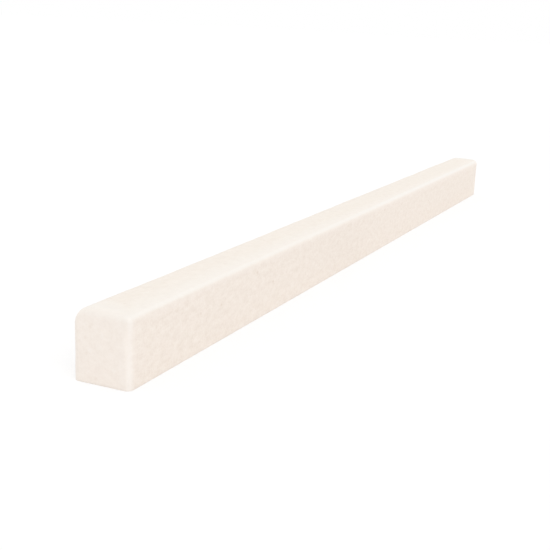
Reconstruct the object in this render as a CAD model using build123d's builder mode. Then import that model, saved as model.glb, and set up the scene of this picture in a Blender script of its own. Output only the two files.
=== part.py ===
from build123d import *
import os

# A liner tile: one slim bar of honed limestone that edges or divides a tiled wall.
# Sizes are in millimetres. X runs along the bar, Y across it to its left, and Z points out of the wall that holds it.
# The origin is the middle of the sawn back, on which the bar also lies when it is loose.

# The sawn bar. Its depth is measured in the middle, where the front is highest.
bar_length = 305.0
bar_width = 14.4
bar_depth = 16.7

# How far the middle of the front swells above its two edges
front_swell = 0.4

# Radii of the two long edges of the front: ground soft on the left, and only eased on the right
left_edge_radius = 4.2
right_edge_radius = 2.0

# Radius at which each cut end is eased by hand, up one side, over the front and down the other side
end_edge_radius = 1.8

# Share of a face that its rounded edges always leave flat
flat_share = 0.1

# Height of the flat sides before their front edges are rounded
side_height = bar_depth - front_swell

# The front carries two rounded edges, and each side carries one above the sharp edge of the back
front_radius_limit = min(bar_width / 2, side_height) * (1 - flat_share)
left_radius = min(left_edge_radius, front_radius_limit)
right_radius = min(right_edge_radius, front_radius_limit)

# The easing of an end turns the front corners, so it stays tighter than they are
end_radius_limit = min(left_radius, right_radius, bar_length / 2) * (1 - flat_share)
end_radius = min(end_edge_radius, end_radius_limit)

os.makedirs("parts", exist_ok=True)

with BuildPart() as liner_tile:
    # Cross-section: square at the back, slightly swelled and round-cornered at the front
    with BuildSketch(Plane.YZ) as section:
        with BuildLine():
            back = Line((-bar_width / 2, 0), (bar_width / 2, 0))
            left_side = Line(back @ 1, (bar_width / 2, side_height))
            right_side = Line(back @ 0, (-bar_width / 2, side_height))
            ThreePointArc(left_side @ 1, (0, bar_depth), right_side @ 1)
        make_face()
        right_corner, left_corner = section.vertices().group_by(Axis.Y)[-1].sort_by(Axis.X)
        fillet(left_corner, left_radius)
        fillet(right_corner, right_radius)
    extrude(amount=bar_length / 2, both=True)

    # The outline of both cut ends, apart from the sharp edge along the back
    cut_ends = liner_tile.faces().filter_by(Axis.X)
    back_edges = liner_tile.edges().group_by(Axis.Z)[0]
    end_outlines = cut_ends.edges() - back_edges
    fillet(end_outlines, end_radius)

liner_tile.part.label = "liner_tile"
export_step(liner_tile.part, "parts/liner_tile.step")
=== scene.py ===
import math

import bpy
import numpy as np
from mathutils import Matrix, Vector, noise


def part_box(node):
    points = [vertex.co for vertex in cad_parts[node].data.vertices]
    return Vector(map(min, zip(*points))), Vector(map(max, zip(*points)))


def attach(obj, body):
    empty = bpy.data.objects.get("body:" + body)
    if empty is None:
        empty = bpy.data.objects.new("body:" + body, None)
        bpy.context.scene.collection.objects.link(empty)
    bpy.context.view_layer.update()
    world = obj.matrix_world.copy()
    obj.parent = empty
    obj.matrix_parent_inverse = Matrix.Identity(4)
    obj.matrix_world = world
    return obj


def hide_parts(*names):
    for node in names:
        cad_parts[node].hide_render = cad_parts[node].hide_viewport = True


# A honed limestone liner tile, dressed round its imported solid. Lengths are in metres.

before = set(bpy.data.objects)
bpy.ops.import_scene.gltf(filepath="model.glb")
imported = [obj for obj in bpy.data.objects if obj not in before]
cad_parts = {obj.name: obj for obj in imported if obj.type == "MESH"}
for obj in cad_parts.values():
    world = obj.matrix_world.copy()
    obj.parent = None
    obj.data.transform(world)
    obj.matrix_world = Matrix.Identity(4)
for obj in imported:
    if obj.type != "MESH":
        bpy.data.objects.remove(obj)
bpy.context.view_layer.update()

MM = 0.001
BAR_NODE = "liner_tile"
BAR_LOW, BAR_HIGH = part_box(BAR_NODE)
HALF_LENGTH = (BAR_HIGH.x - BAR_LOW.x) / 2
HALF_WIDTH = (BAR_HIGH.y - BAR_LOW.y) / 2
DEPTH = BAR_HIGH.z - BAR_LOW.z

# The front swells a little in the middle, on one wide circle round a centre far below
SWELL = 0.4 * MM
SWELL_RADIUS = (HALF_WIDTH**2 + SWELL**2) / (2 * SWELL)
SWELL_CENTRE = DEPTH - SWELL_RADIUS

# Radii of the edges: soft on the left, eased on the right and round both ends, barely broken along the back
LEFT_RADIUS = 4.4 * MM
RIGHT_RADIUS = 2.0 * MM
END_RADIUS = 1.85 * MM
BACK_BREAK = 0.1 * MM

# The ends are eased by hand, tighter up the left side than over the front and up the right side
LEFT_END_RADIUS = 1.4 * MM

# The easing of an end widens towards the foot of the left side, and narrows towards that of the right side
LEFT_FOOT_SHARE = 1.28
RIGHT_FOOT_SHARE = 0.78

# The far end is eased less than the near one
FAR_END_SHARE = 0.6

# The left edge grows a little rounder towards the far end, and the right one starts tighter at the near end
LEFT_GROWTH = 0.07
RIGHT_NEAR = 0.27
RIGHT_NEAR_REACH = 100 * MM

# How far those radii wander along the edges, as a share of each
FRONT_WANDER = 0.08
END_WANDER = 0.15
BACK_WANDER = 0.6

# Lengths over which they wander: the front's edges over a long one, with a share of a short one added
LONG_WANDER_SIZE = 24 * MM
SHORT_WANDER_SIZE = 7 * MM
SHORT_WANDER_SHARE = 0.45
END_WANDER_SIZE = 5 * MM
BACK_WANDER_SIZE = 1.6 * MM

# Seeds of that wandering. The short one adds its own to the seed of the edge.
LEFT_SEED = 3.1
RIGHT_SEED = 7.7
SHORT_WANDER_SEED = 20
BACK_RIGHT_SEED = 12.3
BACK_LEFT_SEED = 17.9
NEAR_END_SEED = 31.0
FAR_END_SEED = 47.0

# Where it turns the right front corner, an end's easing keeps under this share of that front edge's radius
END_SHARE = 0.9

# The limit rises with the distance from there. The sharper it is, the more abruptly the easing meets it.
END_LIMIT_RISE = 0.25
LIMIT_SHARPNESS = 12

# Mesh cells: along each part of the section, round an end's easing, in over its face, and along the bar
BREAK_CELLS = 1
BACK_CELLS = 26
SIDE_CELLS = 27
HALF_ARC_CELLS = 6
FRONT_CELLS = 16
END_CELLS = 6
CLOSING_CELLS = 14
LENGTH_CELLS = 690

# Relief that honing leaves: long shallow waves, a fine grain, and a few open pores
WAVE_DEPTH = 0.025 * MM
WAVE_SIZE = 17 * MM
GRAIN_DEPTH = 0.010 * MM
GRAIN_SIZE = 1.3 * MM
PORE_DEPTH = 0.07 * MM
PORE_SPACING = 7 * MM
PORE_RADIUS = 0.6 * MM

# The smallest pore as a share of the largest, and the step through noise that gives each pore its size
SMALLEST_PORE = 0.4
PORE_STEP = 3.7

# A face that points down by more than this is the sawn back, and an edge bent by more degrees stays sharp
SAWN_NORMAL = -0.9
SHARP_ANGLE = 40

# Camera: the focal length in pixels of the square picture, and the pixel that shows the middle of the back
PICTURE = 550
FOCAL_PIXELS = 1002.7
ORIGIN_PIXEL = (350.03, 251.54)

# The distance of that point along the view, the angles of the view, and the range in which the camera sees
ORIGIN_DISTANCE = 0.34695
VIEW_YAW = math.radians(23.625)
VIEW_PITCH = math.radians(14.356)
VIEW_ROLL = math.radians(-2.854)
NEAREST_SEEN = 0.005
FURTHEST_SEEN = 50.0

# Width of the camera's sensor, in millimetres
SENSOR = 36.0


def wander(position, size, seed):
    """Smooth noise from about -1 to 1 that changes over the given size."""
    return noise.noise(Vector((position / size, seed, seed / 2)))


def uneven(x, seed):
    """Share by which a hand-ground front edge is rounder or tighter at x than it should be."""
    short = wander(x, SHORT_WANDER_SIZE, seed + SHORT_WANDER_SEED)
    return 1 + FRONT_WANDER * (wander(x, LONG_WANDER_SIZE, seed) + SHORT_WANDER_SHARE * short)


def left_radius(x):
    """Radius of the left front edge at x."""
    return LEFT_RADIUS * (1 + LEFT_GROWTH * x / HALF_LENGTH) * uneven(x, LEFT_SEED)


def right_radius(x):
    """Radius of the right front edge at x."""
    near = max(1 - (HALF_LENGTH + x) / RIGHT_NEAR_REACH, 0.0)
    return RIGHT_RADIUS * (1 - RIGHT_NEAR * near) * uneven(x, RIGHT_SEED)


def back_radius(x, seed):
    """Size of the tiny break along a sawn back edge at x."""
    return BACK_BREAK * (1 + BACK_WANDER * wander(x, BACK_WANDER_SIZE, seed))


def arc(centre, radius, start, end, cells):
    """Rows along an arc: y, z, and the unit step into the stone that easing an end follows."""
    angles = np.linspace(start, end, cells + 1)
    outward = np.stack([np.cos(angles), np.sin(angles)], axis=1)
    return np.concatenate([np.asarray(centre) + radius * outward, -outward], axis=1)


def back_corner(side, radius):
    """Rows round the tiny break of a back edge. side is -1 for the right and 1 for the left."""
    start = math.pi if side < 0 else 1.5 * math.pi
    centre = (side * (HALF_WIDTH - radius), radius)
    rows = arc(centre, radius, start, start + math.pi / 2, 2 * BREAK_CELLS)
    rows[:, 2:] = (-side, 0.0)
    return rows


def front_centre(radius):
    """Centre of a front edge's arc on the left, which touches the flat side and the swell."""
    y = HALF_WIDTH - radius
    return y, SWELL_CENTRE + math.sqrt((SWELL_RADIUS - radius) ** 2 - y**2)


def between(start, end, cells):
    """Rows evenly spaced between two others, without them."""
    shares = np.arange(1, cells)[:, None] / cells
    return start * (1 - shares) + end * shares


def section(x):
    """Rows of the cross-section at x, from the middle of the right back edge round by the back."""
    left = left_radius(x)
    right = right_radius(x)
    left_y, left_z = front_centre(left)
    right_y, right_z = front_centre(right)
    left_turn = math.atan2(left_z - SWELL_CENTRE, left_y)
    right_turn = math.atan2(right_z - SWELL_CENTRE, -right_y)
    back_right = back_corner(-1, back_radius(x, BACK_RIGHT_SEED))
    back_left = back_corner(1, back_radius(x, BACK_LEFT_SEED))
    front_left = arc((left_y, left_z), left, 0.0, left_turn, 2 * HALF_ARC_CELLS)
    swell = arc((0.0, SWELL_CENTRE), SWELL_RADIUS, left_turn, right_turn, FRONT_CELLS)[1:-1]
    front_right = arc((-right_y, right_z), right, right_turn, math.pi, 2 * HALF_ARC_CELLS)
    rows = [
        back_right,
        between(back_right[-1], back_left[0], BACK_CELLS),
        back_left,
        between(back_left[-1], front_left[0], SIDE_CELLS),
        front_left,
        swell,
        front_right,
        between(front_right[-1], back_right[0], SIDE_CELLS),
    ]
    return np.roll(np.concatenate(rows), -BREAK_CELLS, axis=0)


def end_radii(points, x, seed):
    """Radius at which the end at x is eased at each point of its outline."""
    share = 1.0 if x < 0 else FAR_END_SHARE
    radii = []
    for y, z in points:
        place = Vector((y / END_WANDER_SIZE, z / END_WANDER_SIZE, seed))
        leftward = min(max(y / HALF_WIDTH, 0.0), 1.0) ** 2
        low = max(1 - 2 * z / DEPTH, 0.0)
        left = LEFT_END_RADIUS * (1 + (LEFT_FOOT_SHARE - 1) * low)
        right = END_RADIUS * (1 + (RIGHT_FOOT_SHARE - 1) * low)
        plain = share * (left * leftward + right * (1 - leftward))
        radius = plain * (1 + END_WANDER * noise.noise(place))
        apart = math.hypot(HALF_WIDTH + y, DEPTH - SWELL - z) - right_radius(x)
        limit = END_SHARE * right_radius(x) + END_LIMIT_RISE * max(apart, 0.0)
        radii.append(radius / (1 + (radius / limit) ** LIMIT_SHARPNESS) ** (1 / LIMIT_SHARPNESS))
    return np.array(radii)


def back_lift(run):
    """Height of the tiny break at the foot of an end, at a distance in from that end."""
    left = max(BACK_BREAK - run, 0.0)
    return BACK_BREAK - math.sqrt(BACK_BREAK**2 - left**2)


def eased_rings(direction, seed):
    """Rings round one end, from its flat face to where the sides begin. direction is -1 or 1 along X."""
    base = section(direction * HALF_LENGTH)
    radii = end_radii(base[:, :2], direction * HALF_LENGTH, seed)
    rings = []
    for step in range(END_CELLS + 1):
        angle = math.pi / 2 * step / END_CELLS
        inset = radii * (1 - math.sin(angle))
        run = radii * (1 - math.cos(angle))
        ring = np.empty((len(base), 3))
        ring[:, 0] = direction * (HALF_LENGTH - run)
        ring[:, 1:] = base[:, :2] + base[:, 2:] * inset[:, None]
        ring[:, 2] = np.maximum(ring[:, 2], back_lift(run.mean()))
        rings.append(ring)
    return rings


def bar_rings():
    """Every ring of the bar's skin, from the near end face to the far one."""
    near = eased_rings(-1, NEAR_END_SEED)
    far = eased_rings(1, FAR_END_SEED)
    middle = []
    for step in range(1, LENGTH_CELLS):
        share = step / LENGTH_CELLS
        ring = near[-1] * (1 - share) + far[-1] * share
        ring[:, 1:] = section((2 * share - 1) * HALF_LENGTH)[:, :2]
        middle.append(ring)
    return near + middle + far[::-1]


def end_middle(ring):
    """The middle of the end face that a ring outlines."""
    return np.array([ring[0, 0], 0.0, DEPTH / 2])


def closing_rings(ring):
    """Rings inside the outline of an end, each smaller than the last, down to near its middle."""
    middle = end_middle(ring)
    shares = [1 - step / CLOSING_CELLS for step in range(1, CLOSING_CELLS)]
    return [middle + (ring - middle) * share for share in shares]


def relief(point):
    """How far the honed surface lies under its plain shape at a point, in metres."""
    wave = noise.noise(point / WAVE_SIZE)
    grain = noise.noise(point / GRAIN_SIZE)
    distances, centres = noise.voronoi(point / PORE_SPACING)
    size = SMALLEST_PORE + (1 - SMALLEST_PORE) * abs(noise.noise(centres[0] * PORE_STEP))
    reach = distances[0] * PORE_SPACING / (PORE_RADIUS * size)
    pore = max(1 - reach * reach, 0.0) ** 2
    return WAVE_DEPTH * (1 + wave) + GRAIN_DEPTH * (1 + grain) + PORE_DEPTH * size * pore


def bar_shape():
    """Points and faces of the bar's plain skin, closed at both ends."""
    sides = bar_rings()
    rings = closing_rings(sides[0])[::-1] + sides + closing_rings(sides[-1])
    points = np.concatenate(rings + [[end_middle(sides[0])], [end_middle(sides[-1])]])
    count = len(sides[0])
    last = (len(rings) - 1) * count
    near_middle = last + count
    far_middle = near_middle + 1
    faces = []
    for spot in range(count):
        beside = (spot + 1) % count
        for start in range(0, last, count):
            faces.append((start + spot, start + beside, start + count + beside, start + count + spot))
        faces.append((near_middle, beside, spot))
        faces.append((far_middle, last + spot, last + beside))
    return points, faces


def add_object(name, data):
    """A new object in the scene."""
    thing = bpy.data.objects.new(name, data)
    bpy.context.scene.collection.objects.link(thing)
    return thing


def make_bar():
    """The bar as one closed mesh with its uneven edges and its relief, and a sawn material on its back."""
    points, faces = bar_shape()
    mesh = bpy.data.meshes.new("liner_tile_stone")
    mesh.from_pydata(points.tolist(), [], faces)
    mesh.update()
    normals = np.empty(len(points) * 3, np.float32)
    mesh.vertex_normals.foreach_get("vector", normals)
    depths = np.array([relief(Vector(point)) for point in points])
    depths[points[:, 2] < 2 * BACK_BREAK] = 0.0
    moved = points - normals.reshape(-1, 3) * depths[:, None]
    mesh.vertices.foreach_set("co", moved.astype(np.float32).ravel())
    mesh.update()
    mesh.materials.append(honed_limestone())
    mesh.materials.append(sawn_limestone())
    for polygon in mesh.polygons:
        polygon.use_smooth = True
        polygon.material_index = 1 if polygon.normal.z < SAWN_NORMAL else 0
    mesh.set_sharp_from_angle(angle=math.radians(SHARP_ANGLE))
    return add_object("liner_tile_stone", mesh)


# Noise in the materials: the middle of its range, its number of finer layers, their strength in each kind
NOISE_MIDDLE = 0.5
NOISE_DETAIL = 2.0
PLAIN_NOISE = 0.5
CRISP_NOISE = 0.6

# Spots lie in the cells that draw more than this, and have full strength over the inner share of their reach
SPOT_RARITY = 0.70
SPOT_CORE = 0.3


class Nodes:
    """A short way to write a material's nodes."""

    def __init__(self, name):
        self.material = bpy.data.materials.new(name)
        self.material.use_nodes = True
        self.tree = self.material.node_tree
        self.shader = self.tree.nodes["Principled BSDF"]

    def add(self, kind, inputs=None, **settings):
        """A new node, with a value or a link for each input that is named."""
        node = self.tree.nodes.new(kind)
        for name, value in settings.items():
            setattr(node, name, value)
        for name, value in (inputs or {}).items():
            self.set(node.inputs[name], value)
        return node

    def set(self, socket, value):
        """Links an input to another node's output, or gives it a value of its own."""
        if isinstance(value, bpy.types.NodeSocket):
            self.tree.links.new(value, socket)
        else:
            socket.default_value = value

    def place(self, stretch=(1, 1, 1)):
        """Position on the object, with features drawn out by the given factors along X, Y and Z."""
        place = self.add("ShaderNodeTexCoord").outputs["Object"]
        scaled = self.add("ShaderNodeVectorMath", {"Vector": place}, operation="MULTIPLY")
        scaled.inputs[1].default_value = tuple(1 / factor for factor in stretch)
        return scaled.outputs["Vector"]

    def noise(self, place, size, roughness=PLAIN_NOISE):
        """Noise from 0 to 1 with features of the given size, in metres."""
        inputs = {"Vector": place, "Scale": 1 / size, "Detail": NOISE_DETAIL, "Roughness": roughness}
        return self.add("ShaderNodeTexNoise", inputs).outputs["Fac"]

    def spots(self, place, spacing, channel, reach, fray=0.0):
        """Round spots, faint or strong, in some cells of a Voronoi pattern: 0 outside, up to 1 inside."""
        cells = self.add("ShaderNodeTexVoronoi", {"Vector": place, "Scale": 1 / spacing})
        picks = self.add("ShaderNodeSeparateColor", {"Color": cells.outputs["Color"]})
        chosen = self.remap(picks.outputs[channel], SPOT_RARITY, 1.0)
        distance = self.math("ADD", cells.outputs["Distance"], fray)
        return self.math("MULTIPLY", chosen, self.remap(distance, SPOT_CORE * reach, reach, 1.0, 0.0))

    def math(self, operation, *values):
        """The result of an operation on values or on other nodes' outputs."""
        node = self.add("ShaderNodeMath", operation=operation)
        for socket, value in zip(node.inputs, values):
            self.set(socket, value)
        return node.outputs["Value"]

    def remap(self, value, low, high, to_low=0.0, to_high=1.0):
        """A value eased from one pair of ends to another, and held at the ends outside them."""
        inputs = {
            "Value": value,
            "From Min": low,
            "From Max": high,
            "To Min": to_low,
            "To Max": to_high,
        }
        node = self.add("ShaderNodeMapRange", inputs, interpolation_type="SMOOTHSTEP")
        return node.outputs["Result"]

    def ramp(self, value, stops):
        """Colour ramp through (position, colour) pairs."""
        node = self.add("ShaderNodeValToRGB", {"Fac": value})
        elements = node.color_ramp.elements
        while len(elements) < len(stops):
            elements.new(0.5)
        for element, (position, colour) in zip(elements, stops):
            element.position = position
            element.color = (*colour, 1)
        return node.outputs["Color"]

    def mix(self, factor, first, second, blend="MIX"):
        """Two colours blended, with the factor as the strength of the second one."""
        node = self.add("ShaderNodeMix", data_type="RGBA", blend_type=blend)
        self.set(node.inputs["Factor"], factor)
        self.set(node.inputs["A"], first)
        self.set(node.inputs["B"], second)
        return node.outputs["Result"]

    def bump(self, height, distance, strength):
        """Gives the surface the finest relief, of the given height in metres at full strength."""
        node = self.add("ShaderNodeBump", {"Height": height, "Distance": distance, "Strength": strength})
        self.set(self.shader.inputs["Normal"], node.outputs["Normal"])


# Stone colours, linear
STONE_DARK = (0.800, 0.704, 0.622)
STONE = (0.884, 0.798, 0.721)
STONE_PALE = (0.948, 0.877, 0.810)
# Pale colour of rubbed edges, also used as a painted highlight along the rounded edges and as painted light
# on the front and ends
RUBBED_AND_HIGHLIGHT = (0.908, 0.867, 0.829, 1)
# A whiter grey, mixed over the rounding at each end of the front
WHITER_GREY = (0.835, 0.800, 0.765, 1)
SPECK = (0.66, 0.53, 0.42, 1)
FLECK = (0.945, 0.905, 0.860, 1)
SAW_MARK = (0.80, 0.71, 0.62, 1)

# Mottling from the widest to the finest: the size of each kind, how it is drawn out, how strongly it shows
CLOUD_SIZE = 20 * MM
CLOUD_SHARE = 0.08
MOTTLE_SIZE = 1.5 * MM
MOTTLE_STRETCH = (1.7, 1.2, 1.0)
MOTTLE_SHARE = 1.0
FINE_SIZE = 0.6 * MM
FINE_SHARE = 0.9

# Small brown specks and paler flecks: how each is drawn out, its spacing, its reach in cells, its strength
SPECK_STRETCH = (1.3, 1.0, 1.0)
SPECK_SPACING = 2.6 * MM
SPECK_REACH = 0.30
SPECK_SHARE = 0.35
FLECK_STRETCH = (1.6, 1.0, 1.0)
FLECK_SPACING = 2.9 * MM
FLECK_REACH = 0.28
FLECK_SHARE = 0.40

# How far the fine mottling frays the outlines of the specks, in cells
SPECK_FRAY = 0.10

# Roughness of the ground front and ends, of the long sides, and of the sawn back
GROUND_ROUGHNESS = 0.45
SIDE_ROUGHNESS = 0.65
SAWN_ROUGHNESS = 0.8
STONE_IOR = 1.5

# The ground faces keep this share of the mottling, and give way to the sides over these distances from them
GROUND_SHARE = 0.66
GROUND_REACH = (0.5 * MM, 2.5 * MM)

# How much the fine mottling changes the roughness, and how high it stands beside the depth of the specks
ROUGHNESS_CHANGE = 0.3
HONED_FINE_HEIGHT = 0.5

# Height and strength of the finest relief, on the honed faces and on the sawn back
HONED_BUMP = (0.02 * MM, 0.5)
SAWN_BUMP = (0.06 * MM, 0.8)

# A band along an edge: a narrow band at most of its strength, and a faint one that reaches further in
BAND_FULL = 0.65 * MM
BAND_REACH = 1.65 * MM
BAND_FAINT = 4.2 * MM
BAND_SHARE = 0.75

# It reaches less far down the sides than over the front, by these factors at the near end and the far one
SIDE_SHORTENING = (1.6, 1.15)

# The uprights of the ends are rubbed and carry a painted highlight in a narrower band, a little more on the
# side than on the end
UPRIGHT_FULL = 0.50 * MM
UPRIGHT_REACH = 1.00 * MM
UPRIGHT_SHORTENING = (0.85, 0.75)

# How strongly the long edges are rubbed and painted with a highlight at the near end and at the far one, and
# the uprights right and left
LONG_WEAR_AND_HIGHLIGHT = (0.75, 0.91)
UPRIGHT_WEAR_AND_HIGHLIGHT = (0.32, 0.09)

# How strongly the end faces are painted paler and less yellow, as painted cool light on them, and the
# distances from an end over which that fades
END_PAINTED_LIGHT = 0.22
END_FADE = (0.2 * MM, 2.4 * MM)

# How strongly the whole front is painted lighter, as painted light from above, and the depths below its
# edges over which it gives way to the sides
FRONT_PAINTED_LIGHT = 0.08
FRONT_DEPTHS = (0.2 * MM, 1.5 * MM)

# How strongly both ends of the front are rubbed and painted with a highlight, and the distances from them
# over which that rises and fades
FRONT_END_WEAR_AND_HIGHLIGHT = 0.50
FRONT_END_RISE = 1.4 * MM
FRONT_END_FADE = (2.0 * MM, 11.0 * MM)

# How strongly and how far in the front's right side is rubbed and painted with a highlight, at the near end
# and past a distance from it
RIGHT_WEAR_AND_HIGHLIGHT = (0.62, 0.44)
RIGHT_REACH = (8.5 * MM, 4.2 * MM)
RIGHT_CHANGE = 1.4 * HALF_LENGTH

# The front is a shade yellower and greener than the sides, and the rounding over it at each end is whiter
FRONT_TINT = (0.9945, 1.0055, 0.9945, 1)
WHITER_GREY_SHARE = 0.34

# The saw lines on the back are rings round the middle of a wide blade, which lies far to one side of the bar
BLADE_CENTRE = (0.0, 0.18, 0.0)
SAW_LINE_SCALE = 0.16 / MM
SAW_LINE_WAVER = 1.5
SAW_LINE_SHARE = 0.25

# They come and go in patches that are drawn out across the bar
SAW_PATCH_SIZE = 3 * MM
SAW_PATCH_STRETCH = (1, 6, 1)


def edge_band(look, first, second, full=BAND_FULL, reach=BAND_REACH):
    """Strength of a band along an edge, from the distances of a point to the two faces that meet there."""
    inward = look.add("ShaderNodeCombineXYZ", {"X": first, "Y": second}).outputs["Vector"]
    distance = look.add("ShaderNodeVectorMath", {"Vector": inward}, operation="LENGTH").outputs["Value"]
    narrow = look.remap(distance, full, reach, BAND_SHARE, 0.0)
    return look.math("ADD", narrow, look.remap(distance, full, BAND_FAINT, 1 - BAND_SHARE, 0.0))


class Insets:
    """How far a point lies in from an end, the near end, a side, the right side and the front."""

    def __init__(self, look):
        axes = look.add("ShaderNodeSeparateXYZ", {"Vector": look.place()})
        self.end = look.math("SUBTRACT", HALF_LENGTH, look.math("ABSOLUTE", axes.outputs["X"]))
        self.near = look.math("ADD", axes.outputs["X"], HALF_LENGTH)
        self.side = look.math("SUBTRACT", HALF_WIDTH, look.math("ABSOLUTE", axes.outputs["Y"]))
        self.right = look.math("ADD", axes.outputs["Y"], HALF_WIDTH)
        below = look.math("SUBTRACT", DEPTH - SWELL, axes.outputs["Z"])
        self.front = look.math("MAXIMUM", below, 0.0)
        self.on_front = look.remap(self.front, *FRONT_DEPTHS, 1.0, 0.0)


def edge_wear_and_highlight(look, inset):
    """Pull towards the pale colour: rubbing with a painted highlight along the edges, most along the
    front's, painted light over the front, and painted paler ends.
    """
    long_wear_and_highlight = look.remap(inset.near, 0.0, 2 * HALF_LENGTH, *LONG_WEAR_AND_HIGHLIGHT)
    shortening = look.remap(inset.near, 0.0, 2 * HALF_LENGTH, *SIDE_SHORTENING)
    right_wear_and_highlight = look.remap(inset.near, 0.0, RIGHT_CHANGE, *RIGHT_WEAR_AND_HIGHLIGHT)
    right_reach = look.remap(inset.near, 0.0, RIGHT_CHANGE, *RIGHT_REACH)
    right_fade = look.math("SUBTRACT", 1.0, look.math("DIVIDE", inset.right, right_reach))
    end_rise = look.remap(inset.end, 0.0, FRONT_END_RISE)
    end_fade = look.remap(inset.end, *FRONT_END_FADE, FRONT_END_WEAR_AND_HIGHLIGHT, 0.0)
    upright_wear_and_highlight = look.remap(inset.right, 0.0, 2 * HALF_WIDTH, *UPRIGHT_WEAR_AND_HIGHLIGHT)
    on_end, on_side = UPRIGHT_SHORTENING
    across = look.math("MULTIPLY", inset.side, on_end)
    along = look.math("MULTIPLY", inset.end, on_side)
    upright_edge = edge_band(look, across, along, UPRIGHT_FULL, UPRIGHT_REACH)
    upright = look.math("MULTIPLY", upright_edge, upright_wear_and_highlight)
    long_edge = edge_band(look, inset.side, look.math("MULTIPLY", inset.front, shortening))
    wears = [
        look.math("MULTIPLY", long_edge, long_wear_and_highlight),
        look.math("ADD", upright, look.remap(inset.end, *END_FADE, END_PAINTED_LIGHT, 0.0)),
        look.math("MULTIPLY", inset.on_front, FRONT_PAINTED_LIGHT),
        look.math("MULTIPLY", inset.on_front, look.math("MULTIPLY", right_fade, right_wear_and_highlight)),
        look.math("MULTIPLY", inset.on_front, look.math("MULTIPLY", end_rise, end_fade)),
    ]
    most = wears[0]
    for wear in wears[1:]:
        most = look.math("MAXIMUM", most, wear)
    return most


def stone_colour(look, fine, contrast):
    """Cream limestone: finely mottled and faintly bedded, with small brown specks and paler flecks."""
    cloud = look.noise(look.place(), CLOUD_SIZE)
    mottle = look.noise(look.place(MOTTLE_STRETCH), MOTTLE_SIZE, CRISP_NOISE)
    tone = 0.0
    for part, share in ((cloud, CLOUD_SHARE), (mottle, MOTTLE_SHARE), (fine, FINE_SHARE)):
        change = look.math("MULTIPLY", look.math("SUBTRACT", part, NOISE_MIDDLE), share)
        tone = look.math("ADD", tone, change)
    tone = look.math("ADD", NOISE_MIDDLE, look.math("MULTIPLY", tone, contrast))
    colour = look.ramp(tone, ((0.0, STONE_DARK), (NOISE_MIDDLE, STONE), (1.0, STONE_PALE)))
    place = look.place(SPECK_STRETCH)
    fray = look.math("MULTIPLY", fine, SPECK_FRAY)
    speck = look.spots(place, SPECK_SPACING, "Red", SPECK_REACH, fray)
    fleck = look.spots(look.place(FLECK_STRETCH), FLECK_SPACING, "Green", FLECK_REACH)
    speck_share = look.math("MULTIPLY", speck, look.math("MULTIPLY", contrast, SPECK_SHARE))
    colour = look.mix(speck_share, colour, SPECK)
    fleck_share = look.math("MULTIPLY", fleck, look.math("MULTIPLY", contrast, FLECK_SHARE))
    return look.mix(fleck_share, colour, FLECK), speck


def honed_limestone():
    """Honed faces: matt, smoother on the front and the ends, paler where the edges are rubbed, and with
    painted highlights and painted light on them.
    """
    look = Nodes("honed_limestone")
    fine = look.noise(look.place(), FINE_SIZE, CRISP_NOISE)
    inset = Insets(look)
    nearest = look.math("MINIMUM", inset.end, inset.front)
    contrast = look.remap(nearest, *GROUND_REACH, GROUND_SHARE, 1.0)
    colour, speck = stone_colour(look, fine, contrast)
    # Rubbed edges with painted highlights along them, painted light over the front, and painted paler ends
    colour = look.mix(edge_wear_and_highlight(look, inset), colour, RUBBED_AND_HIGHLIGHT)
    colour = look.mix(inset.on_front, colour, FRONT_TINT, "MULTIPLY")
    whiter_grey = look.math("MULTIPLY", edge_band(look, inset.end, inset.front), WHITER_GREY_SHARE)
    look.set(look.shader.inputs["Base Color"], look.mix(whiter_grey, colour, WHITER_GREY))
    rough = look.remap(contrast, GROUND_SHARE, 1.0, GROUND_ROUGHNESS, SIDE_ROUGHNESS)
    change = look.math("MULTIPLY", look.math("SUBTRACT", fine, NOISE_MIDDLE), ROUGHNESS_CHANGE)
    look.set(look.shader.inputs["Roughness"], look.math("ADD", rough, change))
    look.bump(look.math("SUBTRACT", look.math("MULTIPLY", fine, HONED_FINE_HEIGHT), speck), *HONED_BUMP)
    look.shader.inputs["IOR"].default_value = STONE_IOR
    return look.material


def sawn_limestone():
    """The sawn back: the same stone, rougher, with the fine curved lines of the saw across it."""
    look = Nodes("sawn_limestone")
    fine = look.noise(look.place(), FINE_SIZE, CRISP_NOISE)
    colour, speck = stone_colour(look, fine, 1.0)
    blade = look.add("ShaderNodeVectorMath", {0: look.place(), 1: BLADE_CENTRE}, operation="SUBTRACT")
    rings = look.add(
        "ShaderNodeTexWave",
        {"Vector": blade.outputs["Vector"], "Scale": SAW_LINE_SCALE, "Distortion": SAW_LINE_WAVER},
        wave_type="RINGS",
        rings_direction="Z",
    )
    patches = look.noise(look.place(SAW_PATCH_STRETCH), SAW_PATCH_SIZE)
    lines = look.math("MULTIPLY", rings.outputs["Fac"], patches)
    colour = look.mix(look.math("MULTIPLY", lines, SAW_LINE_SHARE), colour, SAW_MARK)
    look.set(look.shader.inputs["Base Color"], colour)
    look.shader.inputs["Roughness"].default_value = SAWN_ROUGHNESS
    look.bump(look.math("SUBTRACT", look.math("ADD", fine, lines), speck), *SAWN_BUMP)
    look.shader.inputs["IOR"].default_value = STONE_IOR
    return look.material


# Studio: the surroundings as light, what the floor throws back, and how the floor shows to the camera
SKY_LEVEL = 0.90
FLOOR_BOUNCE = 0.88
FLOOR_GLOW = 0.62
FLOOR_SHADING = 0.38
FLOOR_REACH = 6.0
WHITE = (1, 1, 1, 1)

# Lamps: the direction that each shines from, and what it adds to a white surface that faces it
KEY_DIRECTION = (-0.50, -0.56, 0.66)
KEY_LEVEL = 0.205
FILL_DIRECTION = (0.0, 0.96, 0.29)
FILL_LEVEL = 0.06

# Width of each lamp as the bar sees it, in degrees
LAMP_SPREAD = 40


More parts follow.
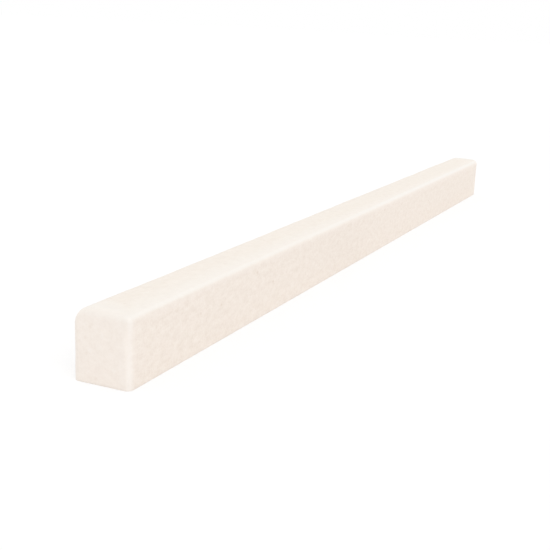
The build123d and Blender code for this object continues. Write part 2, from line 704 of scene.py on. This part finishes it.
def seen_by_eye(tree):
    """1 for camera, glossy and transmission rays, and 0 for the rays that only carry light."""
    path = tree.nodes.new("ShaderNodeLightPath")
    value = path.outputs["Is Camera Ray"]
    for name in ("Is Glossy Ray", "Is Transmission Ray"):
        either = tree.nodes.new("ShaderNodeMath")
        either.operation = "MAXIMUM"
        tree.links.new(value, either.inputs[0])
        tree.links.new(path.outputs[name], either.inputs[1])
        value = either.outputs["Value"]
    return value


def floor_material():
    """White floor. Seen by eye, part of its white is its own, so that the bar's shadow on it stays faint."""
    look = Nodes("studio_floor")
    seen = seen_by_eye(look.tree)
    bounce = (FLOOR_BOUNCE, FLOOR_BOUNCE, FLOOR_BOUNCE, 1)
    shading = (FLOOR_SHADING, FLOOR_SHADING, FLOOR_SHADING, 1)
    look.set(look.shader.inputs["Base Color"], look.mix(seen, bounce, shading))
    look.shader.inputs["Roughness"].default_value = 1.0
    look.shader.inputs["Specular IOR Level"].default_value = 0.0
    look.shader.inputs["Emission Color"].default_value = WHITE
    look.set(look.shader.inputs["Emission Strength"], look.math("MULTIPLY", seen, FLOOR_GLOW))
    return look.material


def make_floor():
    """A wide level floor at the height of the bar's back."""
    corners = [(x * FLOOR_REACH, y * FLOOR_REACH, 0.0) for x, y in ((-1, -1), (1, -1), (1, 1), (-1, 1))]
    mesh = bpy.data.meshes.new("studio_floor")
    mesh.from_pydata(corners, [], [(0, 1, 2, 3)])
    mesh.materials.append(floor_material())
    floor = add_object("studio_floor", mesh)
    floor.location.z = BAR_LOW.z


def make_world():
    """Even white surroundings: full white to the eye, and a little under that as light."""
    world = bpy.data.worlds.new("studio")
    bpy.context.scene.world = world
    world.use_nodes = True
    tree = world.node_tree
    background = tree.nodes["Background"]
    background.inputs["Color"].default_value = WHITE
    level = tree.nodes.new("ShaderNodeMapRange")
    level.inputs["To Min"].default_value = SKY_LEVEL
    level.inputs["To Max"].default_value = 1.0
    tree.links.new(seen_by_eye(tree), level.inputs["Value"])
    tree.links.new(level.outputs["Result"], background.inputs["Strength"])


def make_lamp(name, direction, level):
    """A far soft lamp."""
    data = bpy.data.lights.new(name, "SUN")
    data.energy = math.pi * level
    data.angle = math.radians(LAMP_SPREAD)
    lamp = add_object(name, data)
    lamp.rotation_euler = Vector(direction).to_track_quat("Z", "Y").to_euler()


def make_camera():
    """The camera from which the photograph sees the bar."""
    data = bpy.data.cameras.new("camera")
    data.sensor_width = SENSOR
    data.lens = FOCAL_PIXELS / PICTURE * SENSOR
    data.clip_start = NEAREST_SEEN
    data.clip_end = FURTHEST_SEEN
    forward = Vector((
        math.cos(VIEW_PITCH) * math.cos(VIEW_YAW),
        math.cos(VIEW_PITCH) * math.sin(VIEW_YAW),
        -math.sin(VIEW_PITCH),
    ))
    level_right = Vector((math.sin(VIEW_YAW), -math.cos(VIEW_YAW), 0.0))
    level_down = forward.cross(level_right)
    right = math.cos(VIEW_ROLL) * level_right + math.sin(VIEW_ROLL) * level_down
    down = math.cos(VIEW_ROLL) * level_down - math.sin(VIEW_ROLL) * level_right
    aside = (ORIGIN_PIXEL[0] - PICTURE / 2) / FOCAL_PIXELS * ORIGIN_DISTANCE
    below = (ORIGIN_PIXEL[1] - PICTURE / 2) / FOCAL_PIXELS * ORIGIN_DISTANCE
    place = -(aside * right + below * down + ORIGIN_DISTANCE * forward)
    turn = Matrix((right, -down, -forward)).transposed()
    camera = add_object("camera", data)
    camera.matrix_world = Matrix.Translation(place) @ turn.to_4x4()
    bpy.context.scene.camera = camera


bar = make_bar()
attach(bar, "root")
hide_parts(BAR_NODE)

make_floor()
make_world()
make_lamp("key", KEY_DIRECTION, KEY_LEVEL)
make_lamp("fill", FILL_DIRECTION, FILL_LEVEL)
make_camera()
bpy.context.scene.view_settings.view_transform = "Standard"
